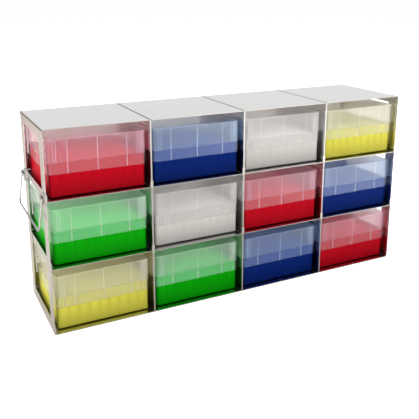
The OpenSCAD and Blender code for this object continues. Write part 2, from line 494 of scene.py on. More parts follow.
@dataclass(frozen=True)
class FrostedPlastic(Plastic):
    """Translucent moulded plastic, glossy outside and frosted within, with a milky haze.

    The haze, its body, can differ where the lid laps the base, on its roof and at its ribs, where
    the colour also gets a painted highlight.
    """

    roughness: float = 0.45
    darkest: float = 0.96
    lightest: float = 1.02
    smear: float = 0.05
    patches: float = 30.0
    peel: float = 0.04
    body: float = 0.40
    lap: float | None = None
    lap_top: float = 46.5 * MM
    roof: float = 0.55
    roof_z: float = 75.5 * MM
    rib: float = 0.52
    rib_pitch: float = 39.5 * MM
    rib_w: float = 0.8 * MM
    rib_core: float = 0.35
    rib_edge: float = 0.65
    # Painted highlight: how much lighter the colour is along the ribs.
    rib_painted_highlight: float = 1.6
    stops_shown: float = 0.5
    lap_shown: float = 0.5

    def material(self, effects: SurfaceEffects) -> bpy.types.Material:
        """Builds the material.

        Args:
            effects: The shared node groups.

        Returns:
            The material.
        """
        material, draw, plastic = new_material(self.name)
        tone, rough, normal, _ = self.surface(draw, effects)
        body = self.body
        if self.lap is not None:
            tone, body = self._by_place(draw, effects, tone)
        draw.feed(plastic, Base_Color=tone, Roughness=rough, IOR=1.2,
                  Transmission_Weight=self.clear, Alpha=body, Coat_Weight=1.0, Coat_IOR=2.2,
                  Coat_Roughness=0.04, Normal=normal)
        return material

    def _by_place(self, draw: NodeSketch, effects: SurfaceEffects,
                  tone: Wire) -> tuple[Wire, Wire]:
        """Changes the haze where the lid laps the base, on its roof and at its ribs, and paints a
        highlight along the ribs.

        Args:
            draw: The material's sketch.
            effects: The shared node groups.
            tone: The lid's own colour.

        Returns:
            The colour with its painted rib highlight, and the body.
        """
        rib = self.rib_w / self.rib_pitch
        wall = draw.add("ShaderNodeGroup", node_tree=effects.wall_light,
                        Rim=self.lap_top)["Rim"]
        light = draw.add("ShaderNodeGroup", node_tree=effects.wall_light, Rim=self.roof_z,
                         Pitch=self.rib_pitch, Shift=0.5, Core=self.rib_core * rib,
                         Edge=self.rib_edge * rib)
        body = wall * (self.body - self.lap) + self.lap
        body = light["Rim"] * (self.roof - self.body) + body
        # Rib and stop lines: denser haze where the plastic is thicker, and a painted highlight in
        # the colour.
        lines = draw.math("MAXIMUM", light["Strips"], light["Stops"] * self.stops_shown)
        shown = wall * (1.0 - self.lap_shown) + self.lap_shown
        lines = lines * ((1.0 - light["Rim"]) * shown)
        return (draw.blend(lines, tone, shade(self.colour, self.rib_painted_highlight)),
                lines * (self.rib - body) + body)


# ---- Meshes ----


def rounded_square(half: float, radius: float, z: float, clockwise: bool = False) -> Outline:
    """Draws a square with rounded corners.

    Args:
        half: Half of its width.
        radius: The corners' radius.
        z: Its height.
        clockwise: The way round, seen from above.

    Returns:
        Its points in order.
    """
    steps = 8
    points = []
    for quarter in range(4):
        turn = Matrix.Rotation(quarter * math.pi / 2, 3, "Z")
        for step in range(steps + 1):
            angle = step / steps * math.pi / 2
            points.append(turn @ Vector((half - radius + radius * math.cos(angle),
                                         half - radius + radius * math.sin(angle), z)))
    return points[::-1] if clockwise else points


def rounded_profile(corners: Sequence[tuple[float, float, float]], steps: int = 3,
                    ) -> list[tuple[float, float]]:
    """Rounds the corners of a line drawn by its inset and its height.

    Args:
        corners: Inset, height and radius of each corner. The ends' radii aren't used.
        steps: Straight steps in each corner's arc.

    Returns:
        Pairs of inset and height.
    """
    line = [Vector(corners[0][:2])]
    for before, here, after in zip(corners, corners[1:], corners[2:]):
        corner = Vector(here[:2])
        back = (Vector(before[:2]) - corner).normalized()
        on = (Vector(after[:2]) - corner).normalized()
        half_angle = back.angle(on) / 2
        reach = here[2] / math.tan(half_angle)
        centre = corner + (back + on).normalized() * (here[2] / math.sin(half_angle))
        start, end = corner + back * reach - centre, corner + on * reach - centre
        sweep = start.angle_signed(end)
        for step in range(steps + 1):
            line.append(centre + Matrix.Rotation(-sweep * step / steps, 2) @ start)
    line.append(Vector(corners[-1][:2]))
    return [(point.x, point.y) for point in line]


def loft(name: str, outlines: Sequence[Outline]) -> bpy.types.Mesh:
    """Skins outlines in order and closes both ends.

    Args:
        name: The mesh's name.
        outlines: Closed outlines with as many points each.

    Returns:
        The mesh.
    """
    count = len(outlines[0])
    faces = [tuple(range(count - 1, -1, -1))]
    for low in range(0, (len(outlines) - 1) * count, count):
        for i in range(count):
            j = (i + 1) % count
            faces.append((low + i, low + j, low + count + j, low + count + i))
    last = (len(outlines) - 1) * count
    faces.append(tuple(range(last, last + count)))
    mesh = bpy.data.meshes.new(name)
    mesh.from_pydata([tuple(p) for outline in outlines for p in outline], [], faces)
    return mesh


def joined(name: str, meshes: Sequence[bpy.types.Mesh]) -> bpy.types.Mesh:
    """Puts several meshes without materials into one.

    Args:
        name: The new mesh's name.
        meshes: The meshes.

    Returns:
        The new mesh.
    """
    made = bmesh.new()
    for part in meshes:
        made.from_mesh(part)
    mesh = bpy.data.meshes.new(name)
    made.to_mesh(mesh)
    made.free()
    return mesh


def soften(mesh: bpy.types.Mesh, degrees: float = 35.0) -> None:
    """Shades a mesh smooth, with edges kept sharp past an angle."""
    mesh.polygons.foreach_set("use_smooth", [True] * len(mesh.polygons))
    mesh.set_sharp_from_angle(angle=math.radians(degrees))


def keep_places(mesh: bpy.types.Mesh) -> None:
    """Gives a box's mesh each point's height and its place along its side, as attributes.

    Args:
        mesh: The mesh, centred on the box.
    """
    points = [vertex.co for vertex in mesh.vertices]
    for name, values in (
        ("height", [p.z for p in points]),
        ("across", [p.x if abs(p.y) > abs(p.x) else p.y for p in points]),
    ):
        mesh.attributes.new(name, "FLOAT", "POINT").data.foreach_set("value", values)


class Piece:
    """One finished piece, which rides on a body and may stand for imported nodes."""

    def __init__(self, name: str, mesh: bpy.types.Mesh, body: str, slot: str,
                 replaces: Sequence[str] = ()) -> None:
        """Places the piece.

        Args:
            name: The piece's name.
            mesh: Its mesh, with its place in it.
            body: The body that it rides on.
            slot: The record's material slot. Not used.
            replaces: The nodes that it stands for.
        """
        self.object = bpy.data.objects.new(name, mesh)
        bpy.context.scene.collection.objects.link(self.object)
        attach(self.object, body)
        if replaces:
            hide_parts(*replaces)

    def flatten_shading(self) -> "Piece":
        """Keeps wide faces flat where they meet a rounded edge."""
        self.object.modifiers.new("flat_faces", "WEIGHTED_NORMAL").keep_sharp = True
        return self

    def report(self) -> None:
        """Logs the piece."""
        log.info("%s: %d faces", self.object.name, len(self.object.data.polygons))


def grown(name: str, tree: bpy.types.NodeTree, values: dict[str, object],
          start: bpy.types.Mesh | None = None) -> bpy.types.Mesh:
    """Runs a geometry tree and keeps its result as a plain mesh.

    Args:
        name: The result's name.
        tree: The geometry tree.
        values: Each named input's value.
        start: The mesh that the tree starts from, if it needs one.

    Returns:
        The mesh.
    """
    holder = bpy.data.objects.new(name, start or bpy.data.meshes.new(name + "_start"))
    bpy.context.scene.collection.objects.link(holder)
    modifier = holder.modifiers.new(tree.name, "NODES")
    modifier.node_group = tree
    sockets = {item.name: item.identifier for item in tree.interface.items_tree
               if item.in_out == "INPUT"}
    for label, value in values.items():
        modifier[sockets[label]] = value
    depsgraph = bpy.context.evaluated_depsgraph_get()
    mesh = bpy.data.meshes.new_from_object(holder.evaluated_get(depsgraph), depsgraph=depsgraph)
    mesh.name = name
    holder.modifiers.remove(modifier)
    bpy.data.objects.remove(holder)
    return mesh


class GrowingTrees:
    """The geometry trees for what repeats or follows a path."""

    strip_sizes = {"Cells": 9, "Pitch": 0.01, "Length": 0.1, "Height": 0.04,
                   "Thickness": 0.001, "Slot width": 0.001, "Slot height": 0.02}
    rib_sizes = {"Wall": 0.06, "Width": 0.002, "Top": 0.04, "Draft": 0.8}

    def __init__(self) -> None:
        """Builds each tree once."""
        self.comb = self._comb()
        self.dividers = self._dividers()
        self.rib_row = self._rib_row()
        self.ribs = self._ribs()
        self.bent_wire = self._bent_wire()

    @staticmethod
    def _row(draw: NodeSketch, shape: Wire, count: Wire, start: Wire, step: Wire) -> Wire:
        """Repeats a shape along a line.

        Args:
            draw: The tree's sketch.
            shape: The shape.
            count: How many there are.
            start: The first one's place.
            step: The way from one to the next.

        Returns:
            The row.
        """
        line = draw.add("GeometryNodeMeshLine", Count=count, Start_Location=start, Offset=step)
        return draw.add("GeometryNodeInstanceOnPoints", Points=line["Mesh"],
                        Instance=shape)["Instances"]

    @staticmethod
    def _turned(draw: NodeSketch, shape: Wire, angle: float) -> Wire:
        """Returns a shape turned about the upright axis."""
        return draw.add("GeometryNodeTransform", Geometry=shape,
                        Rotation=(0.0, 0.0, angle))["Geometry"]

    @staticmethod
    def _end(draw: NodeSketch, made: bpy.types.Node, shapes: list[Wire],
             finish: Wire) -> bpy.types.NodeTree:
        """Ends a tree: its shapes are joined, made real and given their finish.

        Args:
            draw: The tree's sketch.
            made: Its output node.
            shapes: The shapes.
            finish: Their material.

        Returns:
            The tree.
        """
        both = draw.add("GeometryNodeJoinGeometry", Geometry=shapes)
        real = draw.add("GeometryNodeRealizeInstances", Geometry=both["Geometry"])
        dressed = draw.add("GeometryNodeSetMaterial", Geometry=real["Geometry"],
                           Material=finish)
        draw.feed(made, Geometry=dressed["Geometry"])
        return draw.tree

    def _comb(self) -> bpy.types.NodeTree:
        """Makes one divider strip with a row of slots.

        Returns:
            A group that draws the strip's outline as a sheet and thickens it.
        """
        draw, given, made = new_group("divider_strip", "GeometryNodeTree",
                                      {**self.strip_sizes, "Slots up": 1.0}, ("Strip",))
        cells, height, slot = given["Cells"], given["Height"], given["Slot height"]
        grid = draw.add("GeometryNodeMeshGrid", Size_X=1.0, Size_Y=1.0,
                        Vertices_X=cells * 2.0, Vertices_Y=3)
        index = draw.add("GeometryNodeInputIndex")["Index"]
        column = (index + 0.5) // 3.0
        row = draw.math("ROUND", index - column * 3.0)
        middle = (column + 1.5) // 2.0 - cells / 2.0
        x = (0.5 - column.odd()) * given["Slot width"] + middle * given["Pitch"]
        half = given["Length"] / 2.0
        x = draw.math("MINIMUM", draw.math("MAXIMUM", x, half * -1.0), half)
        level = given["Slots up"] * (height - slot - slot) + slot
        z = row.equals(1.0) * level + row.equals(2.0) * height
        placed = draw.add("GeometryNodeSetPosition", Geometry=grid["Mesh"],
                          Position=draw.point(X=x, Y=given["Thickness"] / 2.0, Z=z))
        face_column = (index + 0.5) // 2.0
        face_row = index - face_column * 2.0
        cut = draw.add("GeometryNodeDeleteGeometry", domain="FACE",
                       Geometry=placed["Geometry"],
                       Selection=face_column.odd().equals(1.0)
                       * face_row.equals(given["Slots up"]))["Geometry"]
        thick = draw.add("GeometryNodeExtrudeMesh", mode="FACES", Mesh=cut,
                         Offset_Scale=given["Thickness"], Individual=False)
        back = draw.add("GeometryNodeFlipFaces", Mesh=cut)
        both = draw.add("GeometryNodeJoinGeometry", Geometry=[thick["Mesh"], back["Mesh"]])
        whole = draw.add("GeometryNodeMergeByDistance", Geometry=both["Geometry"],
                         Distance=1e-6)
        draw.feed(made, Strip=whole["Geometry"])
        return draw.tree

    def _dividers(self) -> bpy.types.NodeTree:
        """Makes the crossing strips that divide a base into cells.

        Returns:
            The tree.
        """
        draw, given, made = new_group(
            "cell_dividers", "GeometryNodeTree",
            {"Geometry": SHAPE, **self.strip_sizes, "Finish": STUFF}, ("Geometry",))
        strips = given["Cells"] - 1.0
        first = given["Pitch"] * (0.5 - strips / 2.0)
        ways = []
        for slots_up, turn in ((1.0, 0.0), (0.0, math.pi / 2)):
            strip = draw.add("GeometryNodeGroup", node_tree=self.comb, Slots_up=slots_up,
                             **{label: given[label] for label in self.strip_sizes})
            row = self._row(draw, strip["Strip"], strips, draw.point(Y=first),
                            draw.point(Y=given["Pitch"]))
            ways.append(self._turned(draw, row, turn))
        return self._end(draw, made, ways, given["Finish"])

    def _rib_row(self) -> bpy.types.NodeTree:
        """Makes a row of drafted ribs on the inside of a lid's front side.

        Returns:
            A group that centres the row on a place along X.
        """
        draw, given, made = new_group(
            "rib_row", "GeometryNodeTree",
            {"Count": 3, "Pitch": 0.04, "Middle": 0.0, "Depth": 0.001, "Bottom": 0.0,
             **self.rib_sizes}, ("Ribs",))
        top, bottom, depth = given["Top"], given["Bottom"], given["Depth"]
        block = draw.add("GeometryNodeMeshCube", Vertices_X=2, Vertices_Y=2, Vertices_Z=2,
                         Size=draw.point(X=given["Width"], Y=depth, Z=top - bottom))
        spot = draw.add("ShaderNodeSeparateXYZ",
                        Vector=draw.add("GeometryNodeInputPosition")["Position"])
        inner = draw.math("GREATER_THAN", spot["Y"], 0.0)
        narrow = inner * (given["Draft"] - 1.0) + 1.0
        drafted = draw.point(X=spot["X"] * narrow, Y=spot["Y"], Z=spot["Z"])
        rib = draw.add("GeometryNodeSetPosition", Geometry=block["Mesh"], Position=drafted)
        first = given["Middle"] - (given["Count"] - 1.0) * 0.5 * given["Pitch"]
        start = draw.point(X=first, Y=depth * 0.5 - given["Wall"], Z=(top + bottom) * 0.5)
        draw.feed(made, Ribs=self._row(draw, rib["Geometry"], given["Count"], start,
                                       draw.point(X=given["Pitch"])))
        return draw.tree

    def _ribs(self) -> bpy.types.NodeTree:
        """Makes all the ribs inside a lid's skirt: long ones, and stops beside the corners.

        Returns:
            The tree.
        """
        draw, given, made = new_group(
            "skirt_ribs", "GeometryNodeTree",
            {"Geometry": SHAPE, **self.rib_sizes, "Long count": 3, "Long pitch": 0.04,
             "Long depth": 0.001, "Long bottom": 0.0, "Stop pitch": 0.004,
             "Stop middle": 0.05, "Stop depth": 0.002, "Stop bottom": 0.01,
             "Finish": STUFF}, ("Geometry",))
        right = given["Stop middle"]
        rows = [
            draw.add("GeometryNodeGroup", node_tree=self.rib_row, Count=count, Middle=middle,
                     Pitch=given[kind + " pitch"], Depth=given[kind + " depth"],
                     Bottom=given[kind + " bottom"],
                     **{label: given[label] for label in self.rib_sizes})["Ribs"]
            for count, kind, middle in ((given["Long count"], "Long", 0.0),
                                        (2, "Stop", right), (2, "Stop", right * -1.0))]
        side = draw.add("GeometryNodeJoinGeometry", Geometry=rows)["Geometry"]
        sides = [self._turned(draw, side, quarter * math.pi / 2) for quarter in range(4)]
        return self._end(draw, made, sides, given["Finish"])

    def _bent_wire(self) -> bpy.types.NodeTree:
        """Sweeps a round wire along a line of straight legs, with each corner bent.

        Returns:
            The tree. The line's points carry their bend radius as the attribute bend.
        """
        draw, given, made = new_group(
            "bent_wire", "GeometryNodeTree",
            {"Geometry": SHAPE, "Radius": 0.001, "Sides": 20, "Bend steps": 10,
             "Finish": STUFF}, ("Geometry",))
        path = draw.add("GeometryNodeMeshToCurve", Mesh=given["Geometry"])
        bend = draw.add("GeometryNodeInputNamedAttribute", data_type="FLOAT", Name="bend")
        bent = draw.add("GeometryNodeFilletCurve", mode="POLY", Curve=path["Curve"],
                        Count=given["Bend steps"], Radius=bend["Attribute"])
        ring = draw.add("GeometryNodeCurvePrimitiveCircle", Resolution=given["Sides"],
                        Radius=given["Radius"])
        wire = draw.add("GeometryNodeCurveToMesh", Curve=bent["Curve"],
                        Profile_Curve=ring["Curve"], Fill_Caps=True)
        return self._end(draw, made, [wire["Mesh"]], given["Finish"])


# ---- The object ----


class BoxColour(Enum):
    """The colours that the boxes come in, by the name of their material slot."""

    RED = "red_plastic"
    BLUE = "blue_plastic"
    GREEN = "green_plastic"
    YELLOW = "yellow_plastic"
    NATURAL = "natural_plastic"


BOX_COLOURS = (
    (BoxColour.RED, BoxColour.BLUE, BoxColour.NATURAL, BoxColour.YELLOW),
    (BoxColour.GREEN, BoxColour.NATURAL, BoxColour.RED, BoxColour.BLUE),
    (BoxColour.YELLOW, BoxColour.GREEN, BoxColour.BLUE, BoxColour.RED),
)


@dataclass(frozen=True)
class PlasticTones:
    """One box colour's tones, how clear its base is and how much painted shade the strips put on
    it.
    """

    base: Colour
    # Painted light: the base's colour painted lighter on its rim.
    rim: Colour
    # Painted light: the dividers are a much lighter copy of the base's colour, standing in for
    # light inside the box.
    cells: Colour
    lid: Colour
    clear: float
    strips: float


# Per colour: base, rim with painted light, dividers painted lighter, lid, the base's clearness
# and its painted strip shade.
PLASTIC_TONES = {
    BoxColour.RED: PlasticTones(
        (0.36, 0.0002, 0.007), (0.44, 0.002, 0.012), (0.90, 0.02, 0.05), (1.0, 0.58, 0.72),
        0.05, 0.25),
    BoxColour.BLUE: PlasticTones(
        (0.0006, 0.012, 0.115), (0.006, 0.04, 0.24), (0.03, 0.12, 0.50), (0.52, 0.70, 1.0),
        0.05, 0.25),
    BoxColour.GREEN: PlasticTones(
        (0.0002, 0.26, 0.0002), (0.004, 0.42, 0.05), (0.07, 0.90, 0.16), (0.80, 1.0, 0.88),
        0.05, 0.25),
    BoxColour.YELLOW: PlasticTones(
        (0.60, 0.555, 0.06), (0.62, 0.60, 0.13), (0.80, 0.78, 0.26), (1.0, 0.98, 0.82),
        0.25, 0.30),
    BoxColour.NATURAL: PlasticTones(
        (0.60, 0.58, 0.545), (0.62, 0.61, 0.59), (0.94, 0.93, 0.91), (1.0, 0.98, 0.97),
        0.35, 0.15),
}


class Finishes:
    """Every finish on the object, with its material built once."""

    def __init__(self) -> None:
        """Builds the materials."""
        effects = SurfaceEffects()
        self.sheet = {way: SteelFinish("sheet_steel_" + way.name.lower(), (0.73, 0.725, 0.715),
                                       0.16, way).material(effects) for way in BrushDirection}
        # Folds: a darker, rougher steel, painted shade along the bends.
        self.fold = SteelFinish("folded_edge_finish", (0.34, 0.325, 0.31), 0.30,
                                BrushDirection.DEEP).material(effects)
        self.ear = SteelFinish("ear_steel_finish", (0.66, 0.655, 0.65), 0.26,
                               BrushDirection.UPRIGHT).material(effects)
        self.wire = SteelFinish("wire_steel_finish", (0.46, 0.455, 0.45), 0.18,
                                BrushDirection.DEEP, grain=0.02).material(effects)
        self.base, self.cells, self.lid, self.rib = {}, {}, {}, {}
        for colour, tones in PLASTIC_TONES.items():
            name = colour.name.lower()
            self.base[colour] = MouldedPlastic(
                name + "_base_finish", tones.base, tones.clear, rim=tones.rim,
                strips=tones.strips).material(effects)
            # The dividers' lighter tone is painted light standing in for light inside the box.
            self.cells[colour] = MouldedPlastic(
                name + "_divider_finish", tones.cells, 0.0, roughness=0.9, gloss=0.0,
                wear=0.0).material(effects)
            self.lid[colour] = FrostedPlastic(
                name + "_lid_finish", tones.lid, 0.80, lap=0.24).material(effects)
            # The ribs' plastic is a lighter copy of the lid's, a painted highlight, with denser
            # haze.
            self.rib[colour] = FrostedPlastic(
                name + "_rib_finish", shade(tones.lid, 1.2), 0.30, body=0.50).material(effects)


@dataclass
class TubeBox:
    """A square box: a coloured base with cell dividers, under a clear lid.

    Heights are above the shelf that the box stands on.
    """

    base_w: float = 128.4 * MM
    base_h: float = 46.5 * MM
    base_wall: float = 1.6 * MM
    base_floor: float = 1.8 * MM
    base_corner: float = 3.2 * MM
    foot_h: float = 1.2 * MM
    foot_r: float = 5.0 * MM
    foot_inset: float = 9.0 * MM
    lid_w: float = 132.0 * MM
    lid_rim: float = 31.5 * MM
    lid_top: float = 78.0 * MM
    lid_wall: float = 1.3 * MM
    lid_top_t: float = 1.6 * MM
    lid_corner: float = 5.0 * MM
    lid_sag: float = 0.25 * MM
    rib_w: float = 0.9 * MM
    rib_pitch: float = 39.5 * MM
    rib_depth: float = 0.35 * MM
    rib_end: float = 2.0 * MM
    stop_inset: float = 8.0 * MM
    stop_pitch: float = 4.0 * MM
    stop_depth: float = 1.4 * MM
    stop_end: float = 15.0 * MM
    cells: int = 9
    strip_t: float = 0.9 * MM
    strip_h: float = 40.0 * MM
    strip_gap: float = 0.15 * MM
    slot_fit: float = 0.1 * MM
    edge: float = 0.3 * MM
    foot_sides: int = 28
    sunk: float = 0.2 * MM
    under_edge: float = 1.2 * MM
    inner_edge: float = 0.8 * MM
    lid_edge: float = 1.1 * MM
    lid_inner_edge: float = 0.9 * MM
    lid_least_corner: float = 1.0 * MM
    rib_count: int = 3
    rib_draft: float = 0.8
    touch: float = 0.01 * MM

    def base_mesh(self) -> bpy.types.Mesh:
        """Builds the base: an open tray with rounded edges, on four round feet.

        Returns:
            The mesh, centred on the box.
        """
        floor, inside = self.foot_h + self.base_floor, 8 * MM
        profile = rounded_profile((
            (inside, self.foot_h, 0),
            (0, self.foot_h, self.under_edge),
            (0, self.base_h, self.edge),
            (self.base_wall, self.base_h, self.edge),
            (self.base_wall, floor, self.inner_edge),
            (inside, floor, 0),
        ))
        tray = loft("base_tray_shape", [
            rounded_square(self.base_w / 2 - inset,
                           max(self.base_corner - inset, self.inner_edge), z)
            for inset, z in profile])
        feet = [self._foot(x, y) for x in (-1, 1) for y in (-1, 1)]
        shape = joined("base_shape", [tray, *feet])
        keep_places(shape)
        return shape

    def _foot(self, x: int, y: int) -> bpy.types.Mesh:
        """Builds one round foot, with a rounded lower edge.

        Args:
            x: The side that it is on, -1 or 1.
            y: The end that it is at, -1 or 1.

        Returns:
            The mesh.
        """
        place = Vector((x, y, 0)) * (self.base_w / 2 - self.foot_inset)
        turns = [math.tau * i / self.foot_sides for i in range(self.foot_sides)]
        rings = ((self.foot_r - self.edge, 0.0), (self.foot_r - 0.3 * self.edge, 0.3 * self.edge),
                 (self.foot_r, self.edge), (self.foot_r, self.foot_h + self.sunk))
        return loft("foot_shape", [
            [place + Vector((r * math.cos(turn), r * math.sin(turn), z)) for turn in turns]
            for r, z in rings])

    def lid_mesh(self) -> bpy.types.Mesh:
        """Builds the lid's shell, with soft edges and a top that sags a little.

        Returns:
            The mesh, centred on the box.
        """
        under, inside = self.lid_top - self.lid_top_t, 4 * MM
        profile = rounded_profile((
            (inside, self.lid_top, 0),
            (0, self.lid_top, self.lid_edge),
            (0, self.lid_rim, self.edge),
            (self.lid_wall, self.lid_rim, self.edge),
            (self.lid_wall, under, self.lid_inner_edge),
            (inside, under, 0),
        ))
        lowest, step = 50, 8
        sag = [(inset * MM,
                -self.lid_sag * (1 - math.cos(math.pi * min(inset / lowest, 1))) / 2)
               for inset in range(lowest + step, step, -step)]
        top = [(inset, self.lid_top + drop) for inset, drop in sag]
        bottom = [(inset, under + drop) for inset, drop in reversed(sag)]
        shape = loft("lid_shape", [
            rounded_square(self.lid_w / 2 - inset,
                           max(self.lid_corner - inset, self.lid_least_corner), z, True)
            for inset, z in top + profile + bottom])
        keep_places(shape)
        return shape

    def divider_mesh(self, trees: GrowingTrees, finish: bpy.types.Material) -> bpy.types.Mesh:
        """Grows the dividers.

        Args:
            trees: The geometry trees.
            finish: Their material.

        Returns:
            The mesh, centred on the box.
        """
        cavity = self.base_w - 2 * self.base_wall
        mesh = grown("dividers_shape", trees.dividers, {
            "Cells": self.cells, "Pitch": cavity / self.cells,
            "Length": cavity - 2 * self.strip_gap, "Height": self.strip_h,
            "Thickness": self.strip_t, "Slot width": self.strip_t + 2 * self.slot_fit,
            "Slot height": self.strip_h / 2 + self.slot_fit, "Finish": finish,
        })
        mesh.transform(Matrix.Translation((0, 0, self.foot_h + self.base_floor)))
        return mesh

    def rib_mesh(self, trees: GrowingTrees, finish: bpy.types.Material) -> bpy.types.Mesh:
        """Grows the ribs inside the lid's skirt.

        Args:
            trees: The geometry trees.
            finish: Their material.

        Returns:
            The mesh, centred on the box.
        """
        mesh = grown("ribs_shape", trees.ribs, {
            "Wall": self.lid_w / 2 - self.lid_wall - self.touch, "Width": self.rib_w,
            "Top": self.lid_top - self.lid_top_t - self.lid_sag - self.lid_rim,
            "Draft": self.rib_draft, "Long count": self.rib_count,
            "Long pitch": self.rib_pitch, "Long depth": self.rib_depth,
            "Long bottom": self.rib_end, "Stop pitch": self.stop_pitch,
            "Stop middle": self.lid_w / 2 - self.stop_inset - self.stop_pitch / 2,
            "Stop depth": self.stop_depth, "Stop bottom": self.stop_end, "Finish": finish,
        })
        mesh.transform(Matrix.Translation((0, 0, self.lid_rim)))
        return mesh


class BoxShelfful:
    """All the boxes, each in its bay.

    Args:
        box: The box that they are all copies of.
    """

    def __init__(self, box: TubeBox) -> None:
        """Keeps the box's sizes."""
        self.box = box

    def build(self, trees: GrowingTrees, finishes: Finishes) -> None:
        """Makes every box's pieces and puts them in their bays.

        Args:
            trees: The geometry trees.
            finishes: The finishes.
        """
        base, lid = self.box.base_mesh(), self.box.lid_mesh()
        dividers = self.box.divider_mesh(trees, finishes.cells[BoxColour.RED])
        ribs = self.box.rib_mesh(trees, finishes.rib[BoxColour.RED])
        for row, colours in enumerate(BOX_COLOURS, 1):
            for column, colour in enumerate(colours, 1):
                bay = f"c{column}r{row}"
                low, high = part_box("base_" + bay)
                place = Matrix.Translation(((low.x + high.x) / 2, (low.y + high.y) / 2, low.z))
                for label, shape, finish, body, node in (
                    ("coloured_base_", base, finishes.base, "box_", "base_"),
                    ("cell_dividers_", dividers, finishes.cells, "box_", "cells_"),
                    ("clear_lid_", lid, finishes.lid, "lid_", "lid_"),
                    ("lid_ribs_", ribs, finishes.rib, "lid_", None),
                ):
                    mesh = shape.copy()
                    mesh.transform(place)
                    mesh.materials.clear()
                    mesh.materials.append(finish[colour])
                    soften(mesh)
                    slot = colour.value if body == "box_" else "lid_plastic"
                    piece = Piece(label + bay, mesh, body + bay, slot,
                                  [node + bay] if node else [])
                    piece.flatten_shading().report()


@dataclass
class SheetRack:
    """The folded steel rack: four columns, their shelves and the tray under them.

    Behind each end bay a narrow return fills the gap between the end wall and the lid. It has
    a low tab, a wide foot beside the base and a narrower part beside the lid.
    """

    columns: int = 4
    rows: int = 3
    sheet: float = 1.0 * MM
    bay_h: float = 91.2 * MM
    edge: float = 0.12 * MM
    fold_length: float = 20.0 * MM
    lid_rim: float = 31.5 * MM
    tab_low: float = 6.4 * MM
    tab_high: float = 9.4 * MM
    tab_in: float = 1.3 * MM
    tab_corner: float = 0.5 * MM
    tab_taper: float = 0.9
    return_past: float = 1.1 * MM
    return_foot: float = 1.6 * MM
    return_sunk: float = 0.05 * MM
    return_bend: float = 0.8 * MM
    bend_middle: float = 0.3 * MM
    return_edge: float = 0.15 * MM
    return_back: float = 0.1 * MM
    step: float = 2.0 * MM
    step_under: float = 0.6 * MM
    top_slope: float = 3.0 * MM
    top_taper: float = 0.4

    def build(self, finishes: Finishes) -> None:
        """Gives every sheet soft edges and its brushed finish, and adds the returns.

        Args:
            finishes: The finishes.
        """
        for column in range(1, self.columns + 1):
            self._sheet(f"column_{column}", f"column_shell_{column}", finishes)
            for row in range(1, self.rows):
                self._sheet(f"shelf_c{column}r{row}", f"shelf_sheet_c{column}r{row}", finishes)
        self._sheet("base_tray", "bottom_tray", finishes)
        dress("tray_bumps", finishes.sheet[BrushDirection.DEEP])
        returns = joined("end_wall_returns", [
            self._end_return(column, row) for column in (1, self.columns)
            for row in range(1, self.rows + 1)])
        returns.materials.append(finishes.sheet[BrushDirection.UPRIGHT])
        soften(returns, 30)
        Piece("end_wall_returns", returns, "rack", "sheet_steel").flatten_shading().report()

    def _end_return(self, column: int, row: int) -> bpy.types.Mesh:
        """Folds the narrow return behind one end bay, between the end wall and the lid.

        Args:
            column: The end column.
            row: The bay's row.

        Returns:
            The mesh.
        """
        way = -1 if column == 1 else 1
        low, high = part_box(f"lid_c{column}r{row}")
        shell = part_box(f"column_{column}")
        wall = shell[0].x + self.sheet if way < 0 else shell[1].x - self.sheet
        reach = abs((low.x if way < 0 else high.x) - wall) + self.return_past
        foot = reach + self.return_foot
        back = shell[1].y - self.return_back
        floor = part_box(f"base_c{column}r{row}")[0].z
        root, top = -self.return_sunk, self.bay_h - self.sheet
        step = self.lid_rim - self.step_under
        outlines, sheet, edge = [], self.sheet, self.return_edge
        for height, start, width in ((self.tab_low, self.tab_in, self.tab_taper * foot),
                                     (self.tab_low + self.tab_corner, self.tab_in, foot),
                                     (self.tab_high, self.tab_in, foot),
                                     (self.tab_high, root, foot),
                                     (step - self.step, root, foot),
                                     (step, root, reach),
                                     (top - self.top_slope, root, reach),
                                     (top, root, self.top_taper * reach)):
            bend = self.return_bend if start < 0 else 0.0
            line = [(start, 0.0), (start, sheet + bend),
                    (start + self.bend_middle, sheet + bend / 2),
                    (start + self.return_bend, sheet + bend / 8), (width, sheet),
                    (width + edge, sheet - edge), (width + edge, edge), (width, 0.0)]
            points = [Vector((wall - way * across, back - deep, floor + height))
                      for across, deep in line]
            outlines.append(points[::-1] if way > 0 else points)
        return loft(f"end_return_c{column}r{row}", outlines)

    def _sheet(self, node: str, name: str, finishes: Finishes) -> None:
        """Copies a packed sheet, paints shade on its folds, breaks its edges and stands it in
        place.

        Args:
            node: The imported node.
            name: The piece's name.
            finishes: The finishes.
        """
        made = bmesh.new()
        made.from_mesh(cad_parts[node].data)
        bmesh.ops.remove_doubles(made, verts=made.verts, dist=1e-6)
        bmesh.ops.dissolve_limit(made, angle_limit=math.radians(1), verts=made.verts,
                                 edges=made.edges)
        made.normal_update()
        # Long slanted bend faces get the second material, the painted shade along the folds.
        square_on = 0.999
        for face in made.faces:
            length = max(edge.calc_length() for edge in face.edges)
            if length > self.fold_length and max(abs(part) for part in face.normal) < square_on:
                face.material_index = 1
        mesh = bpy.data.meshes.new(name)
        made.to_mesh(mesh)
        made.free()
        mesh.materials.append(finishes.sheet[BrushDirection.ALONG])
        mesh.materials.append(finishes.fold)
        soften(mesh, 40)
        piece = Piece(name, mesh, "rack", "sheet_steel", [node])
        broken = piece.object.modifiers.new("broken_edges", "BEVEL")
        broken.width = self.edge
        broken.segments = 2
        broken.limit_method = "ANGLE"
        broken.angle_limit = math.radians(45)
        broken.use_clamp_overlap = True
        piece.flatten_shading().report()


def dress(node: str, finish: bpy.types.Material) -> None:
    """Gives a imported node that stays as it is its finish.

    Args:
        node: The node.
        finish: Its material.
    """
    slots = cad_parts[node].data.materials
    slots.clear()
    slots.append(finish)


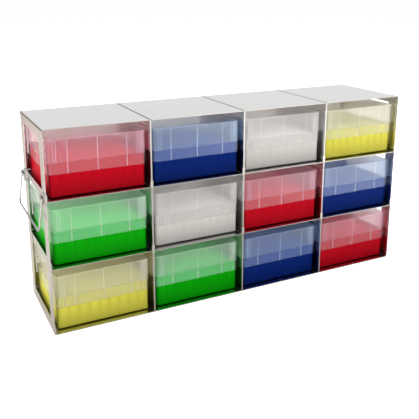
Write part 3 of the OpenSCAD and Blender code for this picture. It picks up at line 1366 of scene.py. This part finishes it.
@dataclass
class BailHandle:
    """The wire bail at the left end, turning in two drilled ears."""

    pivot: tuple[float, float] = (-287.0 * MM, 191.6 * MM)
    wire_r: float = 1.25 * MM
    leg_y: float = 65.5 * MM
    tail_y: float = 57.9 * MM
    drop: float = 46.0 * MM
    tail: float = 12.0 * MM
    pin_bend: float = 3.0 * MM
    bar_bend: float = 6.0 * MM
    hang: float = math.radians(8.5)
    tail_lean: float = math.radians(5.04)

    def build(self, trees: GrowingTrees, finishes: Finishes) -> None:
        """Bends the wire and dresses the ears.

        Args:
            trees: The geometry trees.
            finishes: The finishes.
        """
        leg = self._hung(self.drop, self.hang)
        tail = self._hung(self.tail, -self.tail_lean)
        half = [(tail, self.tail_y, 0.0), ((0.0, 0.0), self.tail_y, self.pin_bend),
                ((0.0, 0.0), self.leg_y, self.pin_bend), (leg, self.leg_y, self.bar_bend)]
        line = [(xz, -y, bend) for xz, y, bend in half] + half[::-1]
        path = bpy.data.meshes.new("bail_path")
        path.from_pydata([(self.pivot[0] + x, y, self.pivot[1] + z) for (x, z), y, _ in line],
                         [(i, i + 1) for i in range(len(line) - 1)], [])
        path.attributes.new("bend", "FLOAT", "POINT").data.foreach_set(
            "value", [bend for *_, bend in line])
        mesh = grown("bail_shape", trees.bent_wire, {
            "Radius": self.wire_r, "Sides": 24, "Bend steps": 10, "Finish": finishes.wire}, path)
        soften(mesh, 50)
        Piece("wire_bail", mesh, "handle", "wire_steel", ["handle"]).report()
        for side in ("front", "back"):
            dress("handle_ear_" + side, finishes.ear)

    @staticmethod
    def _hung(length: float, lean: float) -> tuple[float, float]:
        """Returns the X and Z of the end of a leg that hangs from the pivot and leans out."""
        return -length * math.sin(lean), -length * math.cos(lean)


# ---- The studio ----


@dataclass(frozen=True)
class SoftBox:
    """A rectangular light that faces a point of the rack."""

    name: str
    place: tuple[float, float, float]
    width: float
    power: float
    height: float | None = None
    mirrored: bool = False
    target: tuple[float, float, float] = (0.0, 0.0, 0.12)
    spread: float = 180.0

    def hang(self) -> None:
        """Makes the light."""
        data = bpy.data.lights.new(self.name, "AREA")
        data.shape = "RECTANGLE"
        data.size = self.width
        data.size_y = self.height or self.width
        data.energy = self.power
        data.spread = math.radians(self.spread)
        light = bpy.data.objects.new(self.name, data)
        light.visible_glossy = self.mirrored
        light.location = self.place
        aim = Vector(self.target) - Vector(self.place)
        light.rotation_euler = aim.to_track_quat("-Z", "Y").to_euler()
        bpy.context.scene.collection.objects.link(light)


LIGHTS = (
    SoftBox("key_light", (-1.3, -2.4, 1.7), 2.4, 86.0),
    SoftBox("key_sheen", (-1.3, -2.4, 1.7), 2.4, 23.0, mirrored=True),
    SoftBox("top_light", (0.0, 0.2, 2.6), 2.4, 44.0),
    SoftBox("side_light", (-2.4, 0.1, 0.9), 1.6, 40.0),
    SoftBox("right_light", (0.95, -1.5, 1.1), 0.3, 0.22, target=(0.25, 0.0, 0.31), spread=14.0),
    SoftBox("back_light", (0.0, 1.4, 0.65), 2.6, 20.0, height=0.8),
)


@dataclass
class Studio:
    """A pale floor, soft light and the camera.

    Reflections, and what is seen through plastic, show the floor in darker and brighter cards.
    Where one begins and is whole is given along X or Y, in metres.
    """

    lens: float = 53.71
    azimuth: float = 26.549
    elevation: float = 14.38
    camera_at: tuple[float, float, float] = (-0.43125, -0.82207, 0.44241)
    shift_y: float = -0.142
    floor_size: float = 120.0
    floor_z: float = -0.0002
    floor_glow: float = 0.4
    sky_front: float = 0.30
    sky_back: float = 0.90
    sky_left: float = 0.60
    floor_paint: Colour = (0.9, 0.9, 0.9)
    pale_card: Colour = (0.40, 0.365, 0.34)
    dark_card: Colour = (0.32, 0.28, 0.25)
    bright_card: Colour = (1.0, 0.97, 0.93)
    veiled_card: Colour = (0.50, 0.47, 0.44)
    dark_x: tuple[float, float] = (-0.25, -0.5)
    left_x: tuple[float, float] = (-0.35, -0.6)
    left_y: tuple[float, float] = (0.05, -0.12)
    right_x: tuple[float, float] = (0.12, 0.60)
    right_y: tuple[float, float] = (-0.12, -0.30)
    sky_rise: tuple[float, float] = (-0.6, 0.3)
    sky_fall: tuple[float, float] = (0.08, -0.15)

    def build(self) -> None:
        """Makes the camera, the floor, the world and the lights."""
        self._camera()
        self._floor()
        self._world()
        for light in LIGHTS:
            light.hang()
        view = bpy.context.scene.view_settings
        view.view_transform = "Standard"
        view.look = "None"
        cycles = bpy.context.scene.cycles
        cycles.max_bounces = 16
        cycles.transmission_bounces = 14
        cycles.transparent_max_bounces = 16
        cycles.glossy_bounces = 8

    def _camera(self) -> None:
        """Makes the camera."""
        data = bpy.data.cameras.new("camera")
        data.lens = self.lens
        data.shift_y = self.shift_y
        data.clip_start = 0.01
        data.clip_end = 500.0
        camera = bpy.data.objects.new("camera", data)
        camera.location = self.camera_at
        camera.rotation_euler = Euler((math.radians(90 - self.elevation), 0,
                                       -math.radians(self.azimuth)))
        bpy.context.scene.collection.objects.link(camera)
        bpy.context.scene.camera = camera

    def _floor(self) -> None:
        """Makes the floor."""
        half, z = self.floor_size / 2, self.floor_z
        mesh = bpy.data.meshes.new("floor")
        mesh.from_pydata([(-half, -half, z), (half, -half, z), (half, half, z), (-half, half, z)],
                         [], [(0, 1, 2, 3)])
        material, draw, paint = new_material("floor_paint")
        path = draw.add("ShaderNodeLightPath")
        spot = draw.add("ShaderNodeSeparateXYZ", Vector=draw.add("ShaderNodeTexCoord")["Object"])
        x, y = spot["X"], spot["Y"]
        dark = draw.blend(draw.rise(x, *self.dark_x), self.pale_card, self.dark_card)
        left = draw.rise(x, *self.left_x) * draw.rise(y, *self.left_y)
        right = draw.rise(x, *self.right_x) * draw.rise(y, *self.right_y)
        mirrored = draw.blend(draw.math("MAXIMUM", right, left), dark, self.bright_card)
        through = draw.math("MAXIMUM", path["Is Transmission Ray"],
                            draw.math("GREATER_THAN", path["Transparent Depth"], 0.5))
        seen = draw.blend(through, self.floor_paint, self.veiled_card)
        draw.feed(paint, Base_Color=draw.blend(path["Is Glossy Ray"], seen, mirrored),
                  Roughness=0.9, Specular_IOR_Level=0.0, Emission_Color=(1.0, 1.0, 1.0),
                  Emission_Strength=path["Is Camera Ray"] * (1.0 - through) * self.floor_glow)
        mesh.materials.append(material)
        floor = bpy.data.objects.new("floor", mesh)
        bpy.context.scene.collection.objects.link(floor)

    def _world(self) -> None:
        """Lights everything from all round."""
        world = bpy.data.worlds.new("studio")
        world.use_nodes = True
        draw = NodeSketch(world.node_tree)
        way = draw.add("ShaderNodeSeparateXYZ",
                       Vector=draw.add("ShaderNodeTexCoord")["Generated"])
        path = draw.add("ShaderNodeLightPath")
        fade = draw.rise(way["Y"], *self.sky_rise) * (self.sky_back - self.sky_front)
        fade = fade + self.sky_front
        left = draw.rise(way["X"], *self.sky_fall) * path["Is Glossy Ray"]
        shaded = left * (self.sky_left - 1.0) + 1.0
        draw.feed(world.node_tree.nodes["Background"], Color=(1.0, 1.0, 1.0),
                  Strength=draw.math("MAXIMUM", fade * shaded, path["Is Camera Ray"]))
        bpy.context.scene.world = world


def main() -> None:
    """Builds the studio, the rack, the handle and the boxes, in that order."""
    logging.basicConfig(level=logging.INFO, format="%(name)s: %(message)s")
    Studio().build()
    finishes = Finishes()
    trees = GrowingTrees()
    SheetRack().build(finishes)
    BailHandle().build(trees, finishes)
    BoxShelfful(TubeBox()).build(trees, finishes)


if __name__ == "__main__":
    main()
